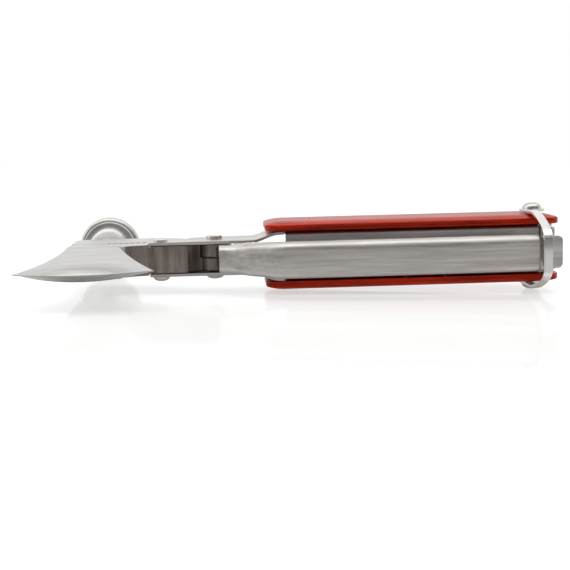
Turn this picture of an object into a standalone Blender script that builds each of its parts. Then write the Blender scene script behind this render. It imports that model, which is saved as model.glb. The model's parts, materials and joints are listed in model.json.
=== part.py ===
"""Folding axe, hammer and pliers multi-tool with a clamped second arm and seven folding tools.

Lengths are in millimetres from the pliers pivot, halfway up the tool: +X runs to the tail, the axe is on
the -Y side, the hammer on the +Y side, and every rivet runs along Z. MM turns them into metres, and the
tool_frame empty stands the whole tool on Z = 0 with the middle of its plan at the origin.
"""

import math

import bmesh
import bpy
from mathutils import Vector

MM = 0.001
GAP = 0.3

# Overall reach of the tool from the pliers pivot.
TOE_X = -58.6
TAIL_X = 113.0
EDGE_Y = -47.5
HAMMER_FACE_Y = 42.0
HALF_HEIGHT = 14.6

# Jaws, axe and hammer.
JAW_END_X = -46.6
JAW_HALF = 5.0
JAW_CORE_HALF = 4.35
NECK_Y = -11.5
NECK_RIGHT_X = -29.8
HEEL = (-17.3, -40.0)
TOE_Y = -40.6
EDGE_Z = 0.5
SHOULDER_HALF = (0.35, 2.1)
TEETH_X = (-35.2, -22.0)
TOOTH_PITCH = 1.88
TOOTH_DEPTH = 1.2
HAMMER_X = -38.0
HAMMER_RADIUS = 10.7
HAMMER_BACK_Y = 16.0

# Pliers joint.
EAR_RADIUS = 5.5
LOBE_RADIUS = 10.5
LOBE_STEP = 148.0
PIVOT_SHAFT = 1.9
JAW_RIVET = (-17.3, -4.5)

# Folded handle channel and its head plates.
SHEET = 0.85
PLATE_Z = 4.65
FLANGE_Z = 7.05
FRONT_Y = -8.0
REAR_Y = 16.0
PLATE_END_X = -20.8
JOGGLE_X = (12.0, 21.0)
WEB_X = (23.0, 105.6)
FLANGE_END_X = 111.0
CHANNEL_HOLLOW_Y = FRONT_Y + SHEET
CHANNEL_BEND = 0.9

# Wooden scales.
SCALE_X = 16.5
SCALE_Y = (-9.0, 17.0)
SCALE_EDGE_Z = 10.1
SCALE_CROWN_Z = 11.1
CROWN_WIDTH = 5.6
CROWN_STEPS = (0.0, 0.12, 0.28, 0.5, 0.75, 1.0)
SCALE_CORNER = 6.0

# Rivets and spring pins through the handle.
FRONT_RIVET = (31.5, 4.0)
TAIL_RIVET = (106.5, 4.0)
TOOL_SHAFT = 1.5
SPRING_PINS = ((62.3, -4.8), (75.3, -4.8))
PIN_SHAFT = 0.8

# Second arm.
ARM_X = (1.5, 102.0)
ARM_FRONT_Y = -22.0
ARM_REAR_Y = -17.5
ARM_TANG_Y = -7.0
ARM_SHEET = 1.0
ARM_RIVETS = ((7.0, -9.6), (12.5, -12.2))

# Locking strap, bent over the tail rivet's two ends.
STRAP_X = 104.0
STRAP_WIDTH = 2.8
STRAP_THICK = 0.9
STRAP_EYE_RADIUS = 4.1
STRAP_EYE_Z = 11.6
STRAP_WEB_REACH = 27.8
STRAP_WEB_HALF = 6.3

# Folding tools, in five layers across the handle.
TOOL_THICK = 2.2
LAYER_PITCH = 2.82
TANG_RADIUS = 6.3
LONG_TOOL = 66.0
SHORT_TOOL = 32.0
LAYERS = range(-2, 3)

STEEL = (0.60, 0.59, 0.58)
RED_WOOD = (0.55, 0.04, 0.02)

for old in list(bpy.data.objects):
    bpy.data.objects.remove(old, do_unlink=True)


# ---- placing and joining ----

def empty(name, x, y, z=0.0, parent=None):
    """An empty at a place given in millimetres under its parent."""
    holder = bpy.data.objects.new(name, None)
    holder.location = Vector((x, y, z)) * MM
    holder.parent = parent
    bpy.context.collection.objects.link(holder)
    return holder


TOOL_FRAME = empty("tool_frame", -(TOE_X + TAIL_X) / 2, -(EDGE_Y + HAMMER_FACE_Y) / 2, HALF_HEIGHT)
PIVOTS = {
    "arm": empty("arm_pivot", 0, 0, parent=TOOL_FRAME),
    "front": empty("front_tool_pivot", *FRONT_RIVET, parent=TOOL_FRAME),
    "tail": empty("tail_tool_pivot", *TAIL_RIVET, parent=TOOL_FRAME),
}


def paint(obj, colour, roughness, metallic):
    """Gives an object its own material."""
    material = bpy.data.materials.new(obj.name)
    material.use_nodes = True
    shader = material.node_tree.nodes["Principled BSDF"]
    shader.inputs["Base Color"].default_value = (*colour, 1.0)
    shader.inputs["Roughness"].default_value = roughness
    shader.inputs["Metallic"].default_value = metallic
    obj.data.materials.append(material)


def solid(name, mesh, pivot=None, colour=STEEL, roughness=0.35, metallic=1.0):
    """An object from a bmesh in millimetres, standing on its joint's axis when it moves."""
    mesh.normal_update()
    bmesh.ops.triangulate(mesh, faces=[face for face in mesh.faces if len(face.verts) > 4])
    bmesh.ops.recalc_face_normals(mesh, faces=mesh.faces)
    parent = PIVOTS.get(pivot, TOOL_FRAME)
    shift = parent.location if parent is not TOOL_FRAME else Vector((0, 0, 0))
    bmesh.ops.scale(mesh, vec=(MM, MM, MM), verts=mesh.verts)
    bmesh.ops.translate(mesh, vec=-shift, verts=mesh.verts)
    data = bpy.data.meshes.new(name)
    mesh.to_mesh(data)
    mesh.free()
    obj = bpy.data.objects.new(name, data)
    obj.parent = parent
    bpy.context.collection.objects.link(obj)
    paint(obj, colour, roughness, metallic)
    data.shade_smooth()
    data.set_sharp_from_angle(angle=math.radians(30))
    return obj


def combine(obj, mesh, operation, pivot=None):
    """Joins another shape to an object, or cuts it away."""
    other = solid(f"{obj.name}_{operation.lower()}", mesh, pivot)
    other.hide_render = True
    other.display_type = "WIRE"
    modifier = obj.modifiers.new(other.name, "BOOLEAN")
    modifier.operation = operation
    modifier.object = other


def drill(obj, place, radius, pivot=None):
    """Drills a hole along Z right through an object."""
    combine(obj, turned([(radius, -20), (radius, 20)], place, 20), "DIFFERENCE", pivot)


# ---- outlines and solids ----

def arc(centre, radius, start, end, steps):
    """Points along an arc, its angles in degrees."""
    turns = [math.radians(start + (end - start) * step / steps) for step in range(steps + 1)]
    return [(centre[0] + radius * math.cos(turn), centre[1] + radius * math.sin(turn)) for turn in turns]


def bow(first, control, last, steps):
    """Points along a curve that leaves first and reaches last, pulled towards control."""
    points = []
    for step in range(steps + 1):
        t = step / steps
        near = Vector(first).lerp(Vector(control), t)
        points.append(tuple(near.lerp(Vector(control).lerp(Vector(last), t), t)))
    return points


def rounded_box(x_range, y_range, radius, steps=4):
    """A rectangle with rounded corners, counter-clockwise."""
    (x0, x1), (y0, y1) = x_range, y_range
    corners = (
        ((x1 - radius, y0 + radius), -90),
        ((x1 - radius, y1 - radius), 0),
        ((x0 + radius, y1 - radius), 90),
        ((x0 + radius, y0 + radius), 180),
    )
    return [point for centre, start in corners for point in arc(centre, radius, start, start + 90, steps)]


def loft(loops):
    """A closed solid through loops of points, each with as many points as the next."""
    mesh = bmesh.new()
    rings = [[mesh.verts.new(point) for point in loop] for loop in loops]
    count = len(rings[0])
    for low, high in zip(rings, rings[1:]):
        for i in range(count):
            j = (i + 1) % count
            mesh.faces.new((low[i], low[j], high[j], high[i]))
    mesh.faces.new(reversed(rings[0]))
    mesh.faces.new(rings[-1])
    return mesh


def prism(outline, z_low, z_high):
    """An outline in the XY plane, extruded along Z."""
    return loft([[(x, y, z) for x, y in outline] for z in (z_low, z_high)])


def turned(profile, centre, steps):
    """A solid turned about a Z axis from (radius, height) points, bottom to top."""
    return loft([[(x, y, z) for x, y in arc(centre, radius, 0, 360 - 360 / steps, steps - 1)]
                 for radius, z in profile])


def ease(value, low, high):
    """A smooth step from 0 at low to 1 at high."""
    t = min(max((value - low) / (high - low), 0.0), 1.0)
    return t * t * (3 - 2 * t)


def slice_at(mesh, place, normal):
    """Adds edges to a mesh where a plane crosses it."""
    parts = list(mesh.verts) + list(mesh.edges) + list(mesh.faces)
    bmesh.ops.bisect_plane(mesh, geom=parts, plane_co=place, plane_no=normal)
    bmesh.ops.remove_doubles(mesh, verts=mesh.verts, dist=0.01)


def fold(mesh, path, unbent=lambda across: False):
    """Bends a flat sheet so that its X follows a YZ path and its Y becomes X, except where it is unbent."""
    spots = [Vector(point) for point in path]
    lengths = [0.0]
    for start, end in zip(spots, spots[1:]):
        lengths.append(lengths[-1] + (end - start).length)
    along = [(end - start).normalized() for start, end in zip(spots, spots[1:])]
    tangents = [along[0]] + [(a + b) / (1 + a.dot(b)) for a, b in zip(along, along[1:])] + [along[-1]]
    for length in lengths[1:-1]:
        slice_at(mesh, (length, 0, 0), (1, 0, 0))
    for vert in mesh.verts:
        length, across, height = vert.co
        i = max(n for n in range(len(along)) if n == 0 or lengths[n] <= length + 1e-4)
        if unbent(across):
            i = 0 if length < lengths[-1] / 2 else len(along) - 1
        t = (length - lengths[i]) / (lengths[i + 1] - lengths[i])
        place = spots[i] + (spots[i + 1] - spots[i]) * t
        tangent = along[i] if unbent(across) else tangents[i].lerp(tangents[i + 1], min(max(t, 0.0), 1.0))
        vert.co = (across, place.x + tangent.y * height, place.y - tangent.x * height)
    return mesh


def path_length(path):
    """The length of a path through YZ points."""
    return sum(math.dist(start, end) for start, end in zip(path, path[1:]))


# ---- jaws ----

def axe_blade():
    """The axe, from its bowed cutting edge to the neck: one loop of section per column across it."""
    chord = HEEL[0] - TOE_X
    sagitta = (HEEL[1] + TOE_Y) / 2 - EDGE_Y
    radius = (chord * chord / 4 + sagitta * sagitta) / (2 * sagitta)
    middle = (TOE_X + HEEL[0]) / 2
    columns = 14
    rows = (0.0, 0.07, 0.25, 0.45, 0.65, 0.85, 1.0)
    left = bow((TOE_X, TOE_Y), (-48.0, -29.0), (JAW_END_X, NECK_Y), 10)
    right = bow(HEEL, (-25.5, -27.0), (NECK_RIGHT_X, NECK_Y), 10)

    def side(points, t):
        place = t * (len(points) - 1)
        i = min(int(place), len(points) - 2)
        return Vector(points[i]).lerp(Vector(points[i + 1]), place - i)

    sections = []
    for column in range(columns + 1):
        across = column / columns
        belly = 1 - (2 * across - 1) ** 2
        shoulder = SHOULDER_HALF[0] + (SHOULDER_HALF[1] - SHOULDER_HALF[0]) * belly
        upper, lower = [], []
        for row in rows:
            start, end = side(left, row), side(right, row)
            x = start.x + (end.x - start.x) * across
            straight = start.y + (end.y - start.y) * across
            x_edge = TOE_X + chord * across
            bowed = math.sqrt(radius * radius - (x_edge - middle) ** 2) - (radius - sagitta)
            y = straight - bowed * (1 - row) ** 2
            half = 0.08 if row == 0.0 else shoulder + (JAW_HALF - 0.05 - shoulder) * (row - 0.07) / 0.93
            lift = EDGE_Z * (1 - row)
            upper.append((x, y, lift + half))
            lower.append((x, y, lift - half))
        upper.append((upper[-1][0], NECK_Y + 3.0, JAW_HALF - 0.05))
        lower.append((lower[-1][0], NECK_Y + 3.0, 0.05 - JAW_HALF))
        sections.append(upper + lower[::-1])
    return loft(sections)


def teeth(side):
    """The toothed stretch of a jaw's gripping face, from the pivot end towards the tip."""
    count = round((TEETH_X[1] - TEETH_X[0]) / TOOTH_PITCH)
    face = side * GAP / 2
    points = []
    for tooth in range(count):
        x = TEETH_X[1] - tooth * TOOTH_PITCH
        points += [(x, face), (x - TOOTH_PITCH / 2, face + side * TOOTH_DEPTH)]
    return points + [(TEETH_X[0], face)]


def axe_jaw():
    """The fixed jaw with the axe, and the lower ear of the pliers joint."""
    face = -GAP / 2
    tip = arc((JAW_END_X + 1.5, face - 1.5), 1.5, 90, 180, 3)
    outline = [(-3.0, face)] + teeth(-1) + tip
    outline += [(JAW_END_X, NECK_Y), (NECK_RIGHT_X, NECK_Y)]
    outline += bow((NECK_RIGHT_X + 1.5, NECK_Y + 1.0), (-25.0, FRONT_Y), (-21.0, FRONT_Y), 4)
    outline += [(-8.7, FRONT_Y), (-5.3, -4.0), (-3.0, -3.0)]
    jaw = solid("axe_jaw", prism(outline, -JAW_HALF, JAW_HALF))
    step = PLATE_END_X - GAP
    for low, high in ((JAW_CORE_HALF, 6), (-6, -JAW_CORE_HALF)):
        combine(jaw, prism([(step, -20), (5, -20), (5, 5), (step, 5)], low, high), "DIFFERENCE")
    combine(jaw, turned([(EAR_RADIUS + GAP, -GAP / 2), (EAR_RADIUS + GAP, 6)], (0, 0), 32), "DIFFERENCE")
    ear = turned([(EAR_RADIUS, 0.05 - JAW_CORE_HALF), (EAR_RADIUS, -GAP / 2 - 0.05)], (0, 0), 32)
    combine(jaw, ear, "UNION")
    combine(jaw, axe_blade(), "UNION")
    drill(jaw, JAW_RIVET, 1.7)
    drill(jaw, (0, 0), PIVOT_SHAFT + GAP)


def hammer_head():
    """The round poll and its flared neck, turned about an axis along Y."""
    profile = (
        (4.2, 6.0), (4.2, 21.0), (4.7, 26.0), (6.2, 31.0), (9.2, 36.0), (9.6, 36.6), (10.3, 37.2),
        (HAMMER_RADIUS, 38.2), (HAMMER_RADIUS, 40.8), (9.9, 41.7), (9.2, HAMMER_FACE_Y),
    )
    rings = []
    for radius, y in profile:
        rings.append([(x, y, z) for x, z in arc((HAMMER_X, 0), radius, 0, 348.75, 31)])
    return loft(rings)


def hammer_jaw():
    """The moving jaw with the hammer, the upper ear of the joint and the tang that carries the arm."""
    face = GAP / 2
    tip = arc((JAW_END_X + 1.5, face + 1.5), 1.5, 270, 180, 3)
    outline = [(-3.0, face)] + teeth(1) + tip + [(JAW_END_X, 13.0)]
    outline += bow((JAW_END_X + 0.3, 14.5), (-45.0, HAMMER_BACK_Y), (-42.5, HAMMER_BACK_Y), 3)
    outline += [(-24.0, HAMMER_BACK_Y)]
    outline += bow((-21.0, HAMMER_BACK_Y), (-13.0, HAMMER_BACK_Y - 1), (-6.0, 7.0), 5) + [(-3.0, 4.0)]
    jaw = solid("hammer_jaw", prism(outline, -JAW_HALF, JAW_HALF), "arm")
    clear = LOBE_RADIUS + GAP
    for low, high in ((JAW_CORE_HALF, 6), (-6, -JAW_CORE_HALF)):
        combine(jaw, turned([(clear, low), (clear, high)], (0, 0), 40), "DIFFERENCE", "arm")
    combine(jaw, hammer_head(), "UNION", "arm")
    tang = [(0.0, -4.8), (2.4, -8.8), (9.0, -12.2), (13.5, -14.6), (14.5, -13.2), (9.0, -8.0), (6.0, -2.0),
            (2.0, 4.0)]
    combine(jaw, prism(tang, -3.0, 3.0), "UNION", "arm")
    lower_ear = turned([(EAR_RADIUS + GAP, -6), (EAR_RADIUS + GAP, GAP / 2)], (0, 0), 32)
    combine(jaw, lower_ear, "DIFFERENCE", "arm")
    ear = turned([(EAR_RADIUS, GAP / 2 + 0.05), (EAR_RADIUS, JAW_CORE_HALF - 0.05)], (0, 0), 32)
    combine(jaw, ear, "UNION", "arm")
    drill(jaw, (0, 0), PIVOT_SHAFT + GAP, "arm")
    for place in ARM_RIVETS:
        drill(jaw, place, PIN_SHAFT + GAP, "arm")


# ---- folded channels ----

def channel_pattern(length):
    """The handle channel before it is folded: X runs round the section and Y along the handle."""
    bend_y = CHANNEL_HOLLOW_Y + CHANNEL_BEND + 0.4
    relief = 0.6
    half = [(WEB_X[0], bend_y), (WEB_X[0] - relief, bend_y), (WEB_X[0] - relief, FRONT_Y)]
    half += [(PLATE_END_X, FRONT_Y)]
    lobe = arc((0, 0), LOBE_RADIUS, LOBE_STEP, 90, 7)
    half += [(PLATE_END_X, -GAP), (lobe[0][0], -GAP)] + lobe
    half += bow((11.0, LOBE_RADIUS), (17.2, LOBE_RADIUS), (20.6, REAR_Y - 0.7), 4) + [(23.0, REAR_Y)]
    half += [(FLANGE_END_X - 2, REAR_Y), (FLANGE_END_X, REAR_Y - 2), (FLANGE_END_X, bend_y + 2)]
    half += [(FLANGE_END_X - 2, bend_y), (WEB_X[1], bend_y)]
    upper = [(REAR_Y - y, x) for x, y in half]
    return upper + [(length - place, x) for place, x in reversed(upper)]


def handle_channel():
    """The sheet folded along the handle's front: head plates, flanges and the web between them."""
    corner = (CHANNEL_HOLLOW_Y + CHANNEL_BEND, FLANGE_Z - CHANNEL_BEND)
    half = [(REAR_Y, FLANGE_Z)] + arc(corner, CHANNEL_BEND, 90, 180, 4)
    path = half + [(y, -z) for y, z in reversed(half)]
    length = path_length(path)
    mesh = prism(channel_pattern(length), 0, SHEET)
    for step in range(7):
        slice_at(mesh, (0, JOGGLE_X[0] + (JOGGLE_X[1] - JOGGLE_X[0]) * step / 6, 0), (0, 1, 0))
    fold(mesh, path, unbent=lambda x: x < WEB_X[0] - 0.1)
    for vert in mesh.verts:
        step_in = (FLANGE_Z - PLATE_Z) * (1 - ease(vert.co.x, *JOGGLE_X))
        vert.co.z -= math.copysign(step_in, vert.co.z)
    channel = solid("handle_channel", mesh)
    for place, radius in ((JAW_RIVET, 1.4), ((0, 0), PIVOT_SHAFT), (FRONT_RIVET, TOOL_SHAFT),
                          (TAIL_RIVET, TOOL_SHAFT), *((pin, PIN_SHAFT) for pin in SPRING_PINS)):
        drill(channel, place, radius + GAP)


def arm_front(x):
    """How far forward the arm's front stands at x."""
    return -10.6 + (ARM_FRONT_Y + 10.6) * ease(x, -6.0, 25.0)


def arm_half(x):
    """The arm's half height at x."""
    return JAW_CORE_HALF + 1.4 * (ease(x, 4.0, 12.0) * 0.6 + ease(x, 10.0, 24.0) * 0.4)


def arm_rear(x):
    """Where the arm's two flanges end at x: behind the tang at first, then close behind the arm's front."""
    return ARM_TANG_Y - 2.6 * ease(x, 3.5, 6.5) + (ARM_REAR_Y - ARM_TANG_Y + 2.6) * ease(x, 8.5, 22.0)


def arm_channel():
    """The second arm: a sheet folded into a channel that is open towards the handle."""
    stations = [1.5, 2.75, 4, 5, 6, 7, 8.5, 10, 11.5, 13, 15, 17, 19.5, 22, 25, ARM_X[1]]
    loops = []
    for x in stations:
        front, half, rear = arm_front(x), arm_half(x), arm_rear(x)
        bend = min(2.6, (rear - front) - 0.6)
        outer = [(rear, half)] + arc((front + bend, half - bend), bend, 90, 180, 5)
        inner_bend = max(bend - ARM_SHEET, 0.2)
        inner = [(rear, half - ARM_SHEET)]
        inner += arc((front + ARM_SHEET + inner_bend, half - ARM_SHEET - inner_bend), inner_bend, 90, 180, 5)
        section = outer + [(y, -z) for y, z in reversed(outer)]
        section += [(y, -z) for y, z in inner] + inner[::-1]
        loops.append([(x, y, z) for y, z in section])
    channel = solid("arm_channel", loft(loops), "arm")
    for place in ARM_RIVETS:
        drill(channel, place, PIN_SHAFT + GAP, "arm")


# ---- scales, strap and fasteners ----

def scale(name, side):
    """One wooden handle scale: crowned round its edges, and flat along the middle of its outer face."""
    x_range, y_range = (SCALE_X, TAIL_X), SCALE_Y
    (x0, x1), (y0, y1) = x_range, y_range
    base = side * (FLANGE_Z + SHEET + GAP)
    loops = [[(x, y, base) for x, y in rounded_box(x_range, y_range, SCALE_CORNER)]]
    for step in CROWN_STEPS:
        inset = CROWN_WIDTH * step
        z = SCALE_EDGE_Z + (SCALE_CROWN_Z - SCALE_EDGE_Z) * (1 - (1 - step) ** 2)
        corner = max(SCALE_CORNER - inset, 0.5)
        outline = rounded_box((x0 + inset, x1 - inset), (y0 + inset, y1 - inset), corner)
        loops.append([(x, y, side * z) for x, y in outline])
    wood = solid(name, loft(loops), colour=RED_WOOD, roughness=0.3, metallic=0.0)
    for place, radius in ((FRONT_RIVET, TOOL_SHAFT), (TAIL_RIVET, TOOL_SHAFT),
                          *((pin, PIN_SHAFT) for pin in SPRING_PINS)):
        drill(wood, place, radius + GAP)


def strap_path():
    """The strap's inner side in YZ, from the upper eye's centre round the web to the lower eye's centre."""
    eye_y = TAIL_RIVET[1]
    web = eye_y - STRAP_WEB_REACH
    half = [(eye_y, STRAP_EYE_Z), (eye_y - 13.8, STRAP_EYE_Z)]
    bend, foot = (web, STRAP_WEB_HALF + 1.5), (web, STRAP_WEB_HALF - 2.0)
    half += bow((eye_y - 15.0, STRAP_EYE_Z - 0.3), bend, foot, 9)
    return half + [(y, -z) for y, z in reversed(half)]


def locking_strap():
    """The strap that swings over the arm's end: two eyes, two slanting legs and an upright web."""
    path = strap_path()
    length = path_length(path)
    side, centre = STRAP_WIDTH / 2, TAIL_RIVET[0]
    shift = STRAP_X - centre
    near = math.degrees(math.asin((side + shift) / STRAP_EYE_RADIUS))
    far = math.degrees(math.asin((side - shift) / STRAP_EYE_RADIUS))
    outline = arc((0, centre), STRAP_EYE_RADIUS, near, 360 - far, 20)
    outline += arc((length, centre), STRAP_EYE_RADIUS, 180 + far, 540 - near, 20)
    strap = solid("locking_strap", fold(prism(outline, 0, STRAP_THICK), path), "tail")
    drill(strap, TAIL_RIVET, TOOL_SHAFT + GAP, "tail")


def rivet_cap(radius, grip, height, domed):
    """One head of a rivet, from its underside outwards: a dome, or a flat disc with a worn edge."""
    low = grip + GAP
    tall = height - low
    if not domed:
        return [(radius, low), (radius, height - 0.25), (radius - 0.25, height)]
    return [(radius, low)] + [(radius * share, low + tall * part)
                              for share, part in ((1.0, 0.25), (0.86, 0.6), (0.58, 0.87), (0.2, 1.0))]


def rivet(name, place, shaft, grip, lower, upper):
    """A rivet through all within grip of the mid-plane. Each head is radius, height and whether domed."""
    bottom = [(radius, -z) for radius, z in reversed(rivet_cap(lower[0], grip, *lower[1:]))]
    profile = bottom + [(shaft, -grip - GAP), (shaft, grip + GAP)] + rivet_cap(upper[0], grip, *upper[1:])
    solid(name, turned(profile, place, 20))


def plain_pin(name, place, radius, half, pivot=None):
    """A pin with flush ends."""
    solid(name, turned([(radius, -half), (radius, half)], place, 16), pivot)


def tail_stop():
    """The block between the flanges' tail ends, with the rounded tongue behind the strap's web."""
    stem = prism([(106.4, -17.0), (109.0, -17.0), (109.0, -8.0), (106.4, -8.0)], -4.0, 4.0)
    block = solid("tail_stop", stem)
    tongue = rounded_box((104.2, 110.6), (-5.2, 5.2), 1.6)
    combine(block, loft([[(x, y, z) for x, z in tongue] for y in (-18.0, -16.8)]), "UNION")
    foot = prism([(105.9, -8.8), (110.6, -8.8), (110.6, -7.2), (105.9, -7.2)], GAP - FLANGE_Z, FLANGE_Z - GAP)
    combine(block, foot, "UNION")


def back_spring(layer):
    """The leaf spring that the tools of one layer bear on, pinned at its middle."""
    low = CHANNEL_HOLLOW_Y + GAP
    middle = sum(pin[0] for pin in SPRING_PINS) / len(SPRING_PINS)
    left = [(26.5, low), (26.5, -3.1), (27.2, -2.6), (35.5, -2.6), (39.0, -4.6), (54.0, -4.6), (58.0, -3.0)]
    outline = left + [(2 * middle - x, y) for x, y in reversed(left)]
    z = layer * LAYER_PITCH
    number = layer - LAYERS.start + 1
    spring = solid(f"back_spring_{number}", prism(outline, z - TOOL_THICK / 2, z + TOOL_THICK / 2))
    for pin in SPRING_PINS:
        drill(spring, pin, PIN_SHAFT + GAP)


def spacer(name, place, layer):
    """A washer that fills a layer where a rivet carries no tool."""
    z = layer * LAYER_PITCH
    radius = 4.0
    washer = solid(name, turned([(radius, z - TOOL_THICK / 2), (radius, z + TOOL_THICK / 2)], place, 20))
    drill(washer, place, TOOL_SHAFT + GAP)


# ---- folding tools ----

def tang():
    """The round tail of a tool about its rivet, from under it, round the back, to its top."""
    return arc((0, 0), TANG_RADIUS, 282, 90, 10)


def knife_outline():
    """Drop-point blade, its spine outwards and its edge towards the springs."""
    belly = bow((LONG_TOOL, 6.5), (59.0, -2.2), (46.0, -2.4), 6)
    spine = [(6.5, 6.8), (10.0, 10.4), (44.0, 10.4), (57.0, 9.4)]
    return tang() + spine + belly + [(12.0, -2.4), (9.0, -5.0)]


def saw_outline():
    """Straight saw with a row of teeth along its inner side."""
    points = tang() + [(6.5, 6.8), (10.0, 9.8), (LONG_TOOL - 4, 9.8), (LONG_TOOL, 6.0), (LONG_TOOL, -1.0)]
    pitch, depth = 2.4, 1.3
    for tooth in range(21):
        x = LONG_TOOL - 1.5 - tooth * pitch
        points += [(x, -2.2), (x - pitch / 2, -2.2 + depth)]
    return points + [(11.0, -2.2), (9.0, -5.0)]


def bottle_opener_outline():
    """Hooked bottle opener with a screwdriver tip."""
    hook = arc((22.0, -0.5), 3.2, 0, 180, 6)
    back = [(6.5, 6.8), (9.0, 8.5), (27.0, 8.5), (SHORT_TOOL, 4.5), (SHORT_TOOL, -2.0), (25.2, -2.4)]
    return tang() + back + hook + [(15.0, -2.4), (9.0, -4.5)]


def can_opener_outline():
    """Can opener with a pointed cutting beak."""
    return tang() + [(6.5, 6.8), (9.0, 8.0), (26.0, 7.6), (SHORT_TOOL, 1.0), (27.0, 1.6), (24.0, -2.2)] \
        + bow((19.0, -1.0), (17.0, 2.2), (13.5, -2.2), 4) + [(9.0, -4.5)]


def flat_driver_outline():
    """Flat screwdriver with a square tip."""
    return tang() + [(6.5, 6.0), (9.0, 5.2), (24.0, 5.0), (28.0, 3.8), (SHORT_TOOL, 3.8), (SHORT_TOOL, -1.4),
                     (28.0, -1.4), (24.0, -2.2), (10.0, -2.2)]


def cross_driver_outline():
    """Cross-point screwdriver, waisted to its tip."""
    return tang() + [(6.5, 5.8), (9.0, 4.8), (20.0, 4.4), (27.0, 3.0), (SHORT_TOOL, 1.6), (SHORT_TOOL, 0.8),
                     (27.0, -0.6), (20.0, -2.0), (10.0, -2.2)]


def file_outline():
    """Flat file with a rounded end."""
    end = arc((LONG_TOOL - 4.5, 2.6), 4.5, 60, -60, 5)
    return tang() + [(6.5, 6.6), (9.0, 7.0), (12.0, 7.4), (LONG_TOOL - 7, 7.4)] + end \
        + [(LONG_TOOL - 7, -2.2), (12.0, -2.2), (9.0, -4.5)]


def folding_tool(name, outline, place, layer, direction, pivot, thick=TOOL_THICK):
    """A tool folded into the handle, pointing along +X or -X from its rivet."""
    z = layer * LAYER_PITCH
    points = [(place[0] + direction * x, place[1] + y) for x, y in outline]
    tool = solid(name, prism(points, z - thick / 2, z + thick / 2), pivot)
    drill(tool, place, TOOL_SHAFT + GAP, pivot)


axe_jaw()
hammer_jaw()
handle_channel()
arm_channel()
scale("top_scale", 1)
scale("bottom_scale", -1)
locking_strap()
tail_stop()

rivet("jaw_rivet", JAW_RIVET, 1.4, PLATE_Z + SHEET, (2.75, 7.2, True), (2.25, 6.4, False))
rivet("pivot_rivet", (0, 0), PIVOT_SHAFT, PLATE_Z + SHEET, (3.2, 7.5, True), (2.6, 6.8, False))
rivet("tail_rivet", TAIL_RIVET, TOOL_SHAFT, STRAP_EYE_Z + STRAP_THICK, (3.2, HALF_HEIGHT, True),
      (3.2, HALF_HEIGHT, True))
plain_pin("front_rivet", FRONT_RIVET, TOOL_SHAFT, SCALE_CROWN_Z)
for end, pin in zip(("front", "rear"), SPRING_PINS):
    plain_pin(f"{end}_spring_pin", pin, PIN_SHAFT, SCALE_CROWN_Z - 0.2)
for end, place in zip(("front", "rear"), ARM_RIVETS):
    plain_pin(f"{end}_arm_rivet", place, PIN_SHAFT, arm_half(place[0]) + 0.1, "arm")

for layer in LAYERS:
    back_spring(layer)
spacer("front_spacer_upper", FRONT_RIVET, 2)
spacer("front_spacer_middle", FRONT_RIVET, 0)
spacer("tail_spacer", TAIL_RIVET, -2)

folding_tool("knife_blade", knife_outline(), TAIL_RIVET, 2, -1, "tail")
folding_tool("bottle_opener", bottle_opener_outline(), TAIL_RIVET, 1, -1, "tail")
folding_tool("saw_blade", saw_outline(), TAIL_RIVET, 0, -1, "tail", thick=1.6)
folding_tool("can_opener", can_opener_outline(), TAIL_RIVET, -1, -1, "tail")
folding_tool("flat_screwdriver", flat_driver_outline(), FRONT_RIVET, 1, 1, "front")
folding_tool("cross_screwdriver", cross_driver_outline(), FRONT_RIVET, -1, 1, "front")
folding_tool("file", file_outline(), FRONT_RIVET, -2, 1, "front")
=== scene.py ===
"""A folding multi-tool: pliers jaws that carry an axe and a hammer, a handle faced with red laminated wood,
a second arm held shut by a strap, and seven tools folded into the handle.

Lengths are in millimetres from the pliers pivot, halfway up the tool, unless a comment says otherwise.
"""

import json
import math

import bmesh
import bpy
from mathutils import Matrix, Vector
from mathutils.geometry import interpolate_bezier


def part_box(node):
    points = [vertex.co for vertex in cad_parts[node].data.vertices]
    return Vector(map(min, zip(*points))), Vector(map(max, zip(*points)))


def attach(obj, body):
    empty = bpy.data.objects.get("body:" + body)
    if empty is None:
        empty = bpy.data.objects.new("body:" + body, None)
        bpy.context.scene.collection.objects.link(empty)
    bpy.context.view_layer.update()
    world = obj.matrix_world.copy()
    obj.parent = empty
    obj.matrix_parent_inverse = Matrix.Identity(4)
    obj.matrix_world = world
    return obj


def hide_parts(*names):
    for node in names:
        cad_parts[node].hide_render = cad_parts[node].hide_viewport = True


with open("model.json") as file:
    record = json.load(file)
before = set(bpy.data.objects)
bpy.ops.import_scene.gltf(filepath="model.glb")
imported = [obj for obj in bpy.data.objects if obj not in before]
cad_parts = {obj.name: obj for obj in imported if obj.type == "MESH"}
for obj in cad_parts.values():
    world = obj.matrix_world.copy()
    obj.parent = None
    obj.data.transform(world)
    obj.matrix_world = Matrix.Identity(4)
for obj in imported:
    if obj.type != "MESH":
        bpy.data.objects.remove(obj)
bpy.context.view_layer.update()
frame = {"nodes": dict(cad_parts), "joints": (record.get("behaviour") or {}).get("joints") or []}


# ---- Table, lamps and camera ----
# The tool lies on its side on a white lacquered board, lit a little from within. Only the rim of the hammer
# poll and the lower head of the tail rivet touch it, so the board tips towards the tail. A soft box hangs
# overhead, the wall behind is white, and the room in front is dim, which gives the steel its bands.
MM = 0.001
PIVOT = Vector(next(joint["pos_m"] for joint in frame["joints"] if joint["name"] == "arm_pivot"))
CAMERA_PLACE = (4.34, -363.33, 39.48)
CAMERA_YAW = math.radians(2.916)
CAMERA_PITCH = math.radians(7.804)
CAMERA_ROLL = math.radians(-1.363)
CAMERA_LENS = 70.1
CAMERA_SENSOR = 36.0
CAMERA_REACH = (0.01, 20.0)
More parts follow.
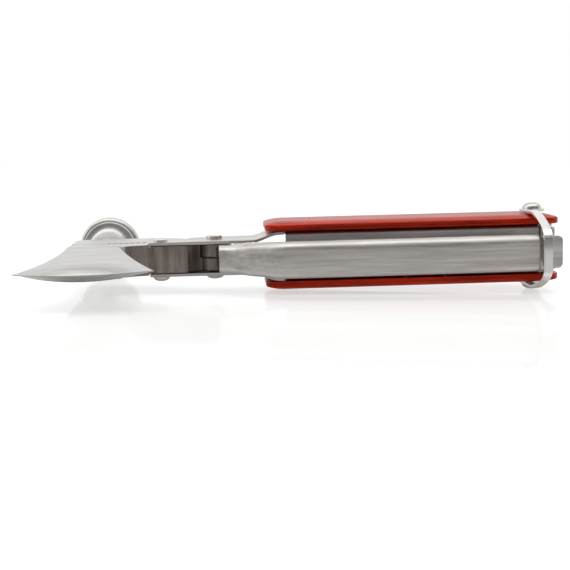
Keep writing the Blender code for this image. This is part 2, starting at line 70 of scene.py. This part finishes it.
# How far a direction leans back or up where the wall and the ceiling begin and end to brighten.
WALL_FADE = (-0.75, 0.35)
WALL_GLOW = (0.24, 1.05)
CEILING_FADE = (0.35, 0.95)
CEILING_GLOW = (0.0, 0.75)
TABLE_CONTACTS = ((-38.0, -10.7), (106.5, -14.6))
TABLE_HALF = 1500.0
TABLE_GLOSS = 0.19
TABLE_ROUGHNESS = 0.07
TABLE_GLOW = 0.28
TABLE_GLOW_SEEN = 0.42


def at(x, y, z=0.0):
    """A place in metres from millimetres beside the pliers pivot."""
    return PIVOT + Vector((x, y, z)) * MM


def linear(colour):
    """An sRGB hex colour as the linear values that shaders take."""
    channels = [int(colour[start:start + 2], 16) / 255 for start in (1, 3, 5)]
    return (*(c / 12.92 if c <= 0.04045 else ((c + 0.055) / 1.055) ** 2.4 for c in channels), 1.0)


def add(tree, kind, sockets=None, **settings):
    """Adds a node with its settings. Each socket takes a value, or another node's output, which is linked."""
    made = tree.nodes.new(kind)
    for name, value in settings.items():
        setattr(made, name, value)
    for name, value in (sockets or {}).items():
        if isinstance(value, bpy.types.NodeSocket):
            tree.links.new(value, made.inputs[name])
        else:
            made.inputs[name].default_value = value
    return made


def show(name, mesh, *materials, sharp=30.0):
    """An object from a bmesh in metres, shaded smooth except where it turns by more than sharp degrees."""
    data = bpy.data.meshes.new(name)
    mesh.to_mesh(data)
    mesh.free()
    for material in materials:
        data.materials.append(material)
    data.shade_smooth()
    data.set_sharp_from_angle(angle=math.radians(sharp))
    made = bpy.data.objects.new(name, data)
    bpy.context.scene.collection.objects.link(made)
    return made


look = Vector((math.sin(CAMERA_YAW) * math.cos(CAMERA_PITCH), math.cos(CAMERA_YAW) * math.cos(CAMERA_PITCH),
               -math.sin(CAMERA_PITCH)))
level = Vector((math.cos(CAMERA_YAW), -math.sin(CAMERA_YAW), 0.0))
upright = level.cross(look)
right = level * math.cos(CAMERA_ROLL) + upright * math.sin(CAMERA_ROLL)
up = upright * math.cos(CAMERA_ROLL) - level * math.sin(CAMERA_ROLL)
turn = Matrix((right, up, -look)).transposed().to_4x4()
camera = bpy.data.objects.new("camera", bpy.data.cameras.new("camera"))
camera.data.lens = CAMERA_LENS
camera.data.sensor_width = CAMERA_SENSOR
camera.data.clip_start, camera.data.clip_end = CAMERA_REACH
camera.matrix_world = Matrix.Translation(at(*CAMERA_PLACE)) @ turn
bpy.context.scene.collection.objects.link(camera)
bpy.context.scene.camera = camera
bpy.context.scene.view_settings.view_transform = "Standard"

world = bpy.data.worlds.new("studio")
bpy.context.scene.world = world
world.use_nodes = True
tree = world.node_tree
tree.nodes.clear()
direction = add(tree, "ShaderNodeTexCoord").outputs["Generated"]
heading = add(tree, "ShaderNodeSeparateXYZ", {"Vector": direction})
wall = add(tree, "ShaderNodeMapRange", {
    "Value": heading.outputs["Y"], "From Min": WALL_FADE[0], "From Max": WALL_FADE[1],
    "To Min": WALL_GLOW[0], "To Max": WALL_GLOW[1]}, interpolation_type="SMOOTHSTEP")
ceiling = add(tree, "ShaderNodeMapRange", {
    "Value": heading.outputs["Z"], "From Min": CEILING_FADE[0], "From Max": CEILING_FADE[1],
    "To Min": CEILING_GLOW[0], "To Max": CEILING_GLOW[1]}, interpolation_type="SMOOTHSTEP")
room = add(tree, "ShaderNodeMath", {0: wall.outputs["Result"], 1: ceiling.outputs["Result"]},
           operation="MAXIMUM")
around = add(tree, "ShaderNodeBackground", {"Color": linear("#ffffff"), "Strength": room.outputs[0]})
backdrop = add(tree, "ShaderNodeBackground", {"Color": linear("#ffffff"), "Strength": 1.0})
choice = add(tree, "ShaderNodeMixShader", {0: add(tree, "ShaderNodeLightPath").outputs["Is Camera Ray"],
                                           1: around.outputs[0], 2: backdrop.outputs[0]})
add(tree, "ShaderNodeOutputWorld", {"Surface": choice.outputs[0]})

# Each lamp's name, its width and depth in metres, its place, what it is aimed at, and its watts.
for lamp, width, depth, place, aim, power in (
        ("overhead_soft_box", 1.5, 0.5, (20, -120, 750), (20, 0, 0), 2.5),
        ("left_strip_lamp", 0.25, 0.6, (-620, -60, 320), (0, 0, 0), 0.5)):
    light = bpy.data.objects.new(lamp, bpy.data.lights.new(lamp, "AREA"))
    light.data.shape = "RECTANGLE"
    light.data.size = width
    light.data.size_y = depth
    light.data.energy = power
    light.location = at(*place)
    light.rotation_euler = (at(*aim) - at(*place)).to_track_quat("-Z", "Y").to_euler()
    bpy.context.scene.collection.objects.link(light)

# White acrylic lacquer, rubbed out: it mirrors the tool softly. From below it is clear, so that the tool's
# underside can be seen.
lacquer = bpy.data.materials.new("white_lacquered_board")
lacquer.use_nodes = True
tree = lacquer.node_tree
tree.nodes.remove(tree.nodes["Principled BSDF"])
paint = add(tree, "ShaderNodeBsdfDiffuse", {"Color": linear("#b0b0af")})
glow = add(tree, "ShaderNodeMath", {0: add(tree, "ShaderNodeLightPath").outputs["Is Camera Ray"],
                                    1: TABLE_GLOW_SEEN, 2: TABLE_GLOW}, operation="MULTIPLY_ADD")
lit = add(tree, "ShaderNodeEmission", {"Color": linear("#ffffff"), "Strength": glow.outputs[0]})
painted = add(tree, "ShaderNodeAddShader", {0: paint.outputs[0], 1: lit.outputs[0]})
polish = add(tree, "ShaderNodeBsdfGlossy", {"Color": linear("#ffffff"), "Roughness": TABLE_ROUGHNESS})
board = add(tree, "ShaderNodeMixShader", {0: TABLE_GLOSS, 1: painted.outputs[0], 2: polish.outputs[0]})
below = add(tree, "ShaderNodeNewGeometry").outputs["Backfacing"]
clear = add(tree, "ShaderNodeBsdfTransparent")
one_way = add(tree, "ShaderNodeMixShader", {0: below, 1: board.outputs[0], 2: clear.outputs[0]})
tree.links.new(one_way.outputs[0], tree.nodes["Material Output"].inputs["Surface"])

(near_x, near_z), (far_x, far_z) = TABLE_CONTACTS
tip = Matrix.Rotation(math.atan2(near_z - far_z, far_x - near_x), 3, "Y")
mesh = bmesh.new()
bmesh.ops.create_grid(mesh, x_segments=1, y_segments=1, size=TABLE_HALF * MM)
bmesh.ops.rotate(mesh, verts=mesh.verts, matrix=tip)
bmesh.ops.translate(mesh, verts=mesh.verts, vec=at(near_x, 0, near_z))
show("table", mesh, lacquer)


# ---- Lower jaw with the axe ----
# A stainless steel forging: the axe, its neck and the lower pliers jaw in one piece, with an ear for the
# pivot. The cheeks are brushed along the edge, the edge is ground bright, and the sides of the jaw keep the
# upright marks of the belt that flattened them. The walls of the jaw teeth take the same darker steel as
# painted shade.
SCRATCH_DETAIL = 7.0
SCRATCH_BREAKUP = 0.72
SCRATCH_TONES = (0.32, 0.62)
DULLING = (-0.08, 0.1)
DULLED_BY = (0.1, 0.4)
AXE_EDGE_Y = -12.5
AXE_NECK_X = -29.0
AXE_JAW_Y = -2.0


def brushed(name, light, dark, roughness, grain, depth, cloud):
    """Steel with fine parallel scratches. grain is their size along X, Y and Z, depth how deep they are, and
    cloud the size of the patches where hands have dulled it."""
    made = bpy.data.materials.new(name)
    made.use_nodes = True
    tree = made.node_tree
    shader = tree.nodes["Principled BSDF"]
    place = add(tree, "ShaderNodeTexCoord").outputs["Object"]
    drawn = add(tree, "ShaderNodeMapping", {"Vector": place, "Scale": [1 / (size * MM) for size in grain]})
    scratches = add(tree, "ShaderNodeTexNoise", {"Vector": drawn.outputs["Vector"], "Scale": 1.0,
                                                 "Detail": SCRATCH_DETAIL, "Roughness": SCRATCH_BREAKUP})
    patches = add(tree, "ShaderNodeTexNoise", {"Vector": place, "Scale": 1 / (cloud * MM), "Detail": 3.0})
    tone = add(tree, "ShaderNodeValToRGB", {"Fac": scratches.outputs["Fac"]})
    for step, position, colour in zip(tone.color_ramp.elements, SCRATCH_TONES, (dark, light)):
        step.position = position
        step.color = linear(colour)
    worn = add(tree, "ShaderNodeMath", {0: scratches.outputs["Fac"], 1: patches.outputs["Fac"]},
               operation="MULTIPLY")
    dull = add(tree, "ShaderNodeMapRange", {
        "Value": worn.outputs[0], "From Min": DULLED_BY[0], "From Max": DULLED_BY[1],
        "To Min": roughness + DULLING[0], "To Max": roughness + DULLING[1]})
    ridges = add(tree, "ShaderNodeBump", {"Height": scratches.outputs["Fac"], "Strength": 1.0,
                                          "Distance": depth * MM})
    tree.links.new(tone.outputs["Color"], shader.inputs["Base Color"])
    tree.links.new(dull.outputs["Result"], shader.inputs["Roughness"])
    tree.links.new(ridges.outputs["Normal"], shader.inputs["Normal"])
    shader.inputs["Metallic"].default_value = 1.0
    return made


def merged(node):
    """A copy of a CAD part, with its loose triangles joined into whole faces."""
    mesh = bmesh.new()
    mesh.from_mesh(frame["nodes"][node].data)
    bmesh.ops.remove_doubles(mesh, verts=mesh.verts, dist=0.004 * MM)
    bmesh.ops.dissolve_limit(mesh, verts=mesh.verts, edges=mesh.edges, angle_limit=math.radians(0.05))
    bmesh.ops.recalc_face_normals(mesh, faces=mesh.faces)
    return mesh


def wear(piece, edge, segments=2, angle=33.0, clamp=True):
    """Rounds a piece's hard edges with a live bevel, edge wide."""
    worn = piece.modifiers.new("worn_edges", "BEVEL")
    worn.width = edge * MM
    worn.segments = segments
    worn.limit_method = "ANGLE"
    worn.angle_limit = math.radians(angle)
    worn.use_clamp_overlap = clamp
    worn.harden_normals = True


# Forged stainless, brushed by hand along X: soft pale streaks. The grit's scratches are too fine to show, so
# the broadest ones are drawn 2.6 mm wide.
satin_steel = brushed("brushed_forged_steel", light="#d0cfcd", dark="#aeada9", roughness=0.34,
                      grain=(34.0, 2.6, 2.6), depth=0.02, cloud=16.0)
# The same steel off a coarse belt: darker, with upright lines 2.2 mm wide, drawn coarse enough to show.
# It is also put on the walls of the jaw teeth, where its darkness is painted shade.
belt_steel_and_teeth_shade = brushed("belt_ground_steel_and_painted_teeth_shade", light="#a0958e", dark="#6f655f", roughness=0.42,
                     grain=(2.2, 30.0, 30.0), depth=0.02, cloud=11.0)

mesh = merged("axe_jaw")
# Belt-ground sides take the darker steel, and the walls of the teeth take it too, as painted shade.
for face in mesh.faces:
    middle = (face.calc_center_median() - PIVOT) / MM
    side = abs(face.normal.z) < 0.5
    squared_or_shaded_teeth = middle.y > AXE_EDGE_Y and (middle.x > AXE_NECK_X or middle.y > AXE_JAW_Y)
    face.material_index = int(side and squared_or_shaded_teeth)
axe = show("axe_and_lower_jaw", mesh, satin_steel, belt_steel_and_teeth_shade)
wear(axe, 0.25, clamp=False)
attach(axe, "main_half")
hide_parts("axe_jaw")


# ---- Upper jaw with the hammer ----
# The other stainless steel forging: the upper jaw, its ear and the tang that carries the second arm. The
# hammer poll is turned on the end of its neck, with a bright band ground round its rim.
UPPER_EAR_X = -9.0
UPPER_SEAM_Y = 2.0
HAMMER_X = -38.0
HAMMER_CUT_Y = 21.5
HAMMER_FACE_Y = 42.0
HAMMER_ROOT_Y = 18.0
HAMMER_NECK_RADIUS = 4.15
HAMMER_RADIUS = 10.7


def turned(profile, centre, axis, steps=72):
    """A solid turned about an axis through centre. Its profile is radius and height, from pole to pole."""
    mesh = bmesh.new()
    outward = Vector((1, 0, 0))
    places = [centre + (outward * radius + Vector(axis) * height) * MM for radius, height in profile]
    spots = [mesh.verts.new(place) for place in places]
    lines = [mesh.edges.new(pair) for pair in zip(spots, spots[1:])]
    bmesh.ops.spin(mesh, geom=spots + lines, cent=centre, axis=axis, angle=math.tau, steps=steps,
                   use_merge=True)
    bmesh.ops.remove_doubles(mesh, verts=mesh.verts, dist=0.002 * MM)
    bmesh.ops.recalc_face_normals(mesh, faces=mesh.faces)
    return mesh


def curve(start, start_pull, end_pull, end, steps):
    """Points along a curve between two profile points, without the first."""
    knots = [Vector((*point, 0)) for point in (start, start_pull, end_pull, end)]
    return [(point.x, point.y) for point in interpolate_bezier(*knots, steps + 1)[1:]]


# Turned on a lathe and polished by use: smooth and bright, with almost no lines.
turned_steel = brushed("turned_poll_steel", light="#cfcecb", dark="#bab8b4", roughness=0.3,
                       grain=(12.0, 12.0, 3.0), depth=0.0005, cloud=12.0)

mesh = merged("hammer_jaw")
shell = mesh.verts[:] + mesh.edges[:] + mesh.faces[:]
bmesh.ops.bisect_plane(mesh, geom=shell, plane_co=at(0, HAMMER_CUT_Y), plane_no=(0, 1, 0), clear_outer=True)
bmesh.ops.holes_fill(mesh, edges=[edge for edge in mesh.edges if edge.is_boundary], sides=0)
# The sides of the ear and jaw take the darker belt-ground steel. On the walls of the teeth it is painted
# shade.
for face in mesh.faces:
    middle = (face.calc_center_median() - PIVOT) / MM
    side = abs(face.normal.z) < 0.5
    face.material_index = int(side and (middle.x > UPPER_EAR_X or middle.y < UPPER_SEAM_Y))
upper_jaw = show("hammer_side_jaw", mesh, satin_steel, belt_steel_and_teeth_shade)
wear(upper_jaw, 0.25, clamp=False)
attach(upper_jaw, "arm")
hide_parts("hammer_jaw")

# The neck starts inside the jaw, flares under the head, steps out to the rim, and rounds over to the face.
profile = [(0.0, HAMMER_ROOT_Y), (HAMMER_NECK_RADIUS, HAMMER_ROOT_Y)]
profile += curve((HAMMER_NECK_RADIUS, 20.0), (4.3, 31.0), (4.6, 35.3), (8.95, 35.9), 24)
profile += [(9.15, 36.2), (9.3, 36.7), (9.9, 36.9), (10.35, 37.25)]
profile += curve((10.35, 37.25), (10.65, 37.6), (10.7, 37.9), (HAMMER_RADIUS, 38.4), 4)
profile += [(HAMMER_RADIUS, 40.7)]
profile += curve((HAMMER_RADIUS, 40.7), (10.6, 41.5), (10.2, 41.95), (9.4, HAMMER_FACE_Y), 6)
profile += [(5.0, HAMMER_FACE_Y), (0.0, HAMMER_FACE_Y)]
poll = show("hammer_poll", turned(profile, at(HAMMER_X, 0), (0, 1, 0), 96), turned_steel)
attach(poll, "arm")
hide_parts("hammer_jaw")


# ---- Handle and second arm ----
# Both are stainless sheet folded into channels. The handle's two sides run on past the fold as head plates,
# joggled inwards to hold the jaws between them, and the second arm is closed round the tang. The sheet was
# brushed lengthwise before it was folded.

# Brushed sheet: long fine lines of light and dark, 3.2 mm at the broadest so that they show, and dull patches
# across them where it has been held.
sheet_steel = brushed("brushed_stainless_sheet", light="#dbd7d3", dark="#aaa6a2", roughness=0.41,
                      grain=(60.0, 3.2, 2.6), depth=0.025, cloud=9.0)

handle = show("folded_handle", merged("handle_channel"), sheet_steel)
wear(handle, 0.12)
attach(handle, "main_half")
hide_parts("handle_channel")

arm = show("second_arm", merged("arm_channel"), sheet_steel)
wear(arm, 0.12)
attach(arm, "arm")
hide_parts("arm_channel")

stop = show("tail_stop_block", merged("tail_stop"), sheet_steel)
wear(stop, 0.3, 3)
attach(stop, "main_half")
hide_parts("tail_stop")


# ---- Wooden scales ----
# Red-dyed birch veneers pressed together under resin, cut to shape with round corners, crowned towards their
# edges and lacquered. Each scale lies on the outside of the handle, held by the rivets.
SCALE_X = (16.5, 113.0)
SCALE_Y = (-9.0, 17.0)
SCALE_CORNER = 6.0
SCALE_EDGE_Z = 10.1
SCALE_CROWN_Z = 11.1
CROWN_WIDTH = 5.6
CROWN_RINGS = 8
VENEER_SIZE = (70.0, 30.0, 0.55)
FIBRE_SIZE = (16.0, 0.9, 0.9)
FIBRE_DEPTH = 0.02
DYE_TONES = ((0.13, "#801003"), (0.36, "#d23006"))

# Dyed birch under a thin satin lacquer: the veneers are fine lines round the edges, the fibres run along the
# handle in lighter and darker red, and the lacquer blurs what it mirrors. The fibres are drawn 0.9 mm wide,
# which is coarser than birch, so that they show.
wood = bpy.data.materials.new("red_dyed_laminated_birch")
wood.use_nodes = True
tree = wood.node_tree
shader = tree.nodes["Principled BSDF"]
place = add(tree, "ShaderNodeTexCoord").outputs["Object"]
pressed = add(tree, "ShaderNodeMapping", {"Vector": place,
                                          "Scale": [1 / (size * MM) for size in VENEER_SIZE]})
veneers = add(tree, "ShaderNodeTexNoise", {"Vector": pressed.outputs["Vector"], "Scale": 1.0, "Detail": 2.0})
along = add(tree, "ShaderNodeMapping", {"Vector": place,
                                        "Scale": [1 / (size * MM) for size in FIBRE_SIZE]})
fibres = add(tree, "ShaderNodeTexNoise", {"Vector": along.outputs["Vector"], "Scale": 1.0, "Detail": 5.0,
                                          "Roughness": 0.65})
both = add(tree, "ShaderNodeMath", {0: veneers.outputs["Fac"], 1: fibres.outputs["Fac"]},
           operation="MULTIPLY")
dye = add(tree, "ShaderNodeValToRGB", {"Fac": both.outputs[0]})
for step, (position, colour) in zip(dye.color_ramp.elements, DYE_TONES):
    step.position = position
    step.color = linear(colour)
pores = add(tree, "ShaderNodeBump", {"Height": fibres.outputs["Fac"], "Strength": 1.0,
                                     "Distance": FIBRE_DEPTH * MM})
tree.links.new(dye.outputs["Color"], shader.inputs["Base Color"])
tree.links.new(pores.outputs["Normal"], shader.inputs["Normal"])
shader.inputs["Roughness"].default_value = 0.5
shader.inputs["Specular IOR Level"].default_value = 0.05
shader.inputs["Coat Weight"].default_value = 0.45
shader.inputs["Coat IOR"].default_value = 1.25
shader.inputs["Coat Roughness"].default_value = 0.16

for name, node, outside in (("upper_wood_scale", "top_scale", 1), ("lower_wood_scale", "bottom_scale", -1)):
    low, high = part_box(node)
    back = low.z if outside > 0 else high.z
    edge = at(0, 0, SCALE_EDGE_Z * outside).z
    (x0, x1), (y0, y1) = SCALE_X, SCALE_Y
    middle = at((x0 + x1) / 2, (y0 + y1) / 2)
    middle.z = (back + edge) / 2
    mesh = bmesh.new()
    bmesh.ops.create_cube(mesh, size=1.0)
    bmesh.ops.scale(mesh, verts=mesh.verts, vec=((x1 - x0) * MM, (y1 - y0) * MM, abs(edge - back)))
    corners = [line for line in mesh.edges if abs((line.verts[0].co - line.verts[1].co).z) > 1 * MM]
    bmesh.ops.bevel(mesh, geom=corners, offset=SCALE_CORNER * MM, offset_type="OFFSET", affect="EDGES",
                    segments=12, profile=0.5, material=-1)
    bmesh.ops.translate(mesh, verts=mesh.verts, vec=middle)
    face = max(mesh.faces, key=lambda side: side.normal.z * outside * side.calc_area())
    for ring in range(1, CROWN_RINGS + 1):
        bmesh.ops.inset_individual(mesh, faces=[face], thickness=CROWN_WIDTH / CROWN_RINGS * MM,
                                   use_even_offset=True)
        rise = (SCALE_CROWN_Z - SCALE_EDGE_Z) * (1 - (1 - ring / CROWN_RINGS) ** 2)
        for vert in face.verts:
            vert.co.z = edge + rise * MM * outside
    scale = show(name, mesh, wood, sharp=35)
    wear(scale, 0.3, 3, 35.0)
    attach(scale, "main_half")
    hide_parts(node)


# ---- Rivets and pins ----
# Stainless wire headed cold at both ends. The tail rivet has round heads that hold the strap's eyes off the
# scales on a collar, the jaw and pivot rivets are flat on top and domed below, and the rest are filed flush.
GRIP = 5.5
EYE_Z = 11.6
STRIP = 0.9
COLLAR = [(2.5, 10.8), (2.5, EYE_Z - 0.1), (1.5, EYE_Z - 0.1)]
RUB_SIZE = 1.2

# Cold-headed stainless, never ground: the brightest steel on the tool, smooth with small rubbed patches.
rivet_steel = bpy.data.materials.new("cold_headed_stainless")
rivet_steel.use_nodes = True
tree = rivet_steel.node_tree
shader = tree.nodes["Principled BSDF"]
place = add(tree, "ShaderNodeTexCoord").outputs["Object"]
rub = add(tree, "ShaderNodeTexNoise", {"Vector": place, "Scale": 1 / (RUB_SIZE * MM), "Detail": 4.0})
tone = add(tree, "ShaderNodeValToRGB", {"Fac": rub.outputs["Fac"]})
tone.color_ramp.elements[0].color = linear("#b5b1ad")
tone.color_ramp.elements[1].color = linear("#e0ddd9")
dull = add(tree, "ShaderNodeMapRange", {"Value": rub.outputs["Fac"], "To Min": 0.14, "To Max": 0.3})
tree.links.new(tone.outputs["Color"], shader.inputs["Base Color"])
tree.links.new(dull.outputs["Result"], shader.inputs["Roughness"])
shader.inputs["Metallic"].default_value = 1.0


def dome(radius, low, high):
    """A round head's profile, from its rim to its pole."""
    tall = high - low
    shoulder = (radius, low + tall * 0.16)
    crown = curve(shoulder, (radius * 0.95, low + tall * 0.75), (radius * 0.5, high), (0.0, high), 10)
    return [(radius, low), shoulder] + crown


def flat(radius, low, high):
    """A flat head's profile with a worn rim, from its underside to its middle."""
    rim = (radius, high - 0.3)
    rounding = curve(rim, (radius, high - 0.1), (radius - 0.1, high), (radius - 0.35, high), 4)
    return [(radius, low), rim] + rounding + [(0.0, high)]


def upside_down(profile):
    """The same head on the other side, from its pole to its rim."""
    return [(radius, -height) for radius, height in reversed(profile)]


# Each pin's name, its place, the radius of its shank, and its lower and upper heads.
for name, place, shank, lower, upper in (
        ("jaw_rivet", (-17.3, -4.5), 1.4, dome(2.75, GRIP, 7.2), flat(2.25, GRIP, 6.4)),
        ("pivot_rivet", (0.0, 0.0), 1.9, dome(3.2, GRIP, 7.5), flat(2.6, GRIP, 6.8)),
        ("tail_rivet", (106.5, 4.0), 1.5, COLLAR + dome(3.2, EYE_Z + STRIP, 14.6),
         COLLAR + dome(3.2, EYE_Z + STRIP, 14.6)),
        ("front_rivet", (31.5, 4.0), 1.5, flat(1.5, 10.6, SCALE_CROWN_Z), flat(1.5, 10.6, SCALE_CROWN_Z)),
        ("front_spring_pin", (62.3, -4.8), 0.8, flat(0.8, 10.4, 10.9), flat(0.8, 10.4, 10.9)),
        ("rear_spring_pin", (75.3, -4.8), 0.8, flat(0.8, 10.4, 10.9), flat(0.8, 10.4, 10.9))):
    profile = upside_down(lower) + [(shank, -lower[0][1]), (shank, upper[0][1])] + upper
    pin = show(f"{name}_turned", turned(profile, at(*place), (0, 0, 1)), rivet_steel)
    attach(pin, "main_half")
    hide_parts(name)

for name in ("front_arm_rivet", "rear_arm_rivet"):
    low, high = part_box(name)
    radius = (high.x - low.x) / 2 / MM
    half = (high.z - low.z) / 2 / MM
    head = flat(radius, half - 0.5, half)
    pin = show(f"{name}_turned", turned(upside_down(head) + head, (low + high) / 2, (0, 0, 1)), rivet_steel)
    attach(pin, "arm")
    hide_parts(name)


# ---- Locking strap ----
# Spring steel strip, bent into a loop that hangs on the tail rivet by an eye at each end and snaps over the
# end of the second arm.

# Polished strip: near white, so it takes the room's light and dark almost as a mirror.
strip_steel = brushed("polished_strip_steel", light="#ecebe8", dark="#d8d6d3", roughness=0.14,
                      grain=(2.0, 20.0, 20.0), depth=0.004, cloud=6.0)
strap = show("strap_loop", merged("locking_strap"), strip_steel)
wear(strap, 0.22, 3)
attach(strap, "strap")
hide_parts("locking_strap")


# ---- Folding tools ----
# Seven hardened blades and drivers blanked from sheet, ground flat along their length and left bright. Four
# turn on the tail rivet and three on the front one.

# Ground tool steel: close lines along the tool, drawn 1.8 mm wide so that they show, under a cold shine.
blade_steel = brushed("ground_tool_steel", light="#cfcdca", dark="#9a9794", roughness=0.28,
                      grain=(40.0, 1.8, 1.8), depth=0.02, cloud=8.0)
for name in ("knife_blade", "bottle_opener", "saw_blade", "can_opener", "flat_screwdriver",
             "cross_screwdriver", "file"):
    tool = show(f"{name}_ground", merged(name), blade_steel)
    wear(tool, 0.12)
    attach(tool, f"{name}_body")
    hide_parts(name)


# ---- Springs and spacers ----
# Five leaf springs, one to a layer, held by the two spring pins, and three plain washers cut from the
# handle's sheet where a layer has no tool on a rivet.

# Blued spring steel: the oxide makes it dark and a little blue, with faint lines from rolling, drawn coarse.
leaf_steel = brushed("blued_spring_steel", light="#7d7b80", dark="#515056", roughness=0.38,
                     grain=(30.0, 1.8, 1.8), depth=0.02, cloud=7.0)
for layer in range(1, 6):
    spring = show(f"leaf_spring_{layer}", merged(f"back_spring_{layer}"), leaf_steel)
    wear(spring, 0.1)
    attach(spring, "main_half")
    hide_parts(f"back_spring_{layer}")
for name in ("front_spacer_upper", "front_spacer_middle", "tail_spacer"):
    washer = show(f"{name}_washer", merged(name), sheet_steel)
    wear(washer, 0.1)
    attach(washer, "main_half")
    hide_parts(name)
